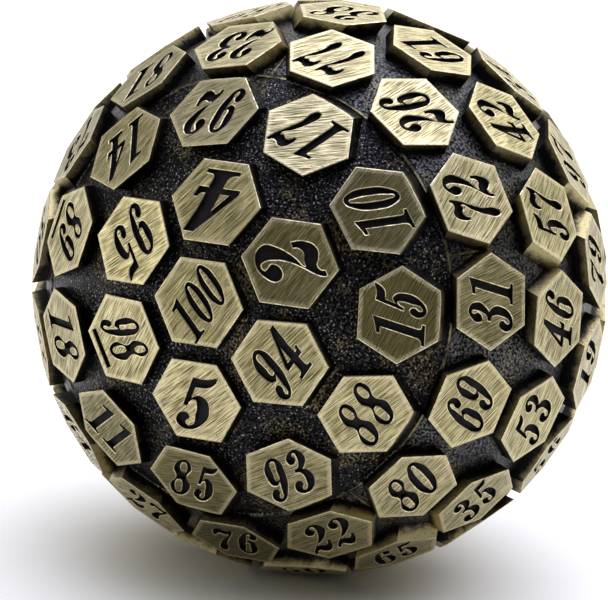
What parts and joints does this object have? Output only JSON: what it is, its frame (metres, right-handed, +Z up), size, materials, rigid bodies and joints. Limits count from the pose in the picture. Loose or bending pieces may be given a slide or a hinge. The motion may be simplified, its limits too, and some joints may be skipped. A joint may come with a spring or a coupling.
{
  "type": "hundred-sided die",
  "caption": "Round metal gaming die: a hollow ball of two end caps and a belt, covered in raised hexagonal faces, each engraved with its own number.",
  "frame": {"origin": "centre of the ball, halfway between every pair of opposite faces", "axes": "+Z up, away from the face it rests on; the pole that carries the 100 face points to -Y and is raised 10 degrees"},
  "size_m": [0.0456, 0.0454, 0.045],
  "materials": {
    "antique_brass": "brushed brass plate on the faces, black patina on the walls and on the cast ground",
    "cured_bond": "dull cured retaining compound"
  },
  "bodies": {
    "root": {"hundred_cap": "antique_brass", "one_cap": "antique_brass", "numbered_belt": "antique_brass", "hundred_bond_ring": "cured_bond", "one_bond_ring": "cured_bond"}
  },
  "joints": []
}
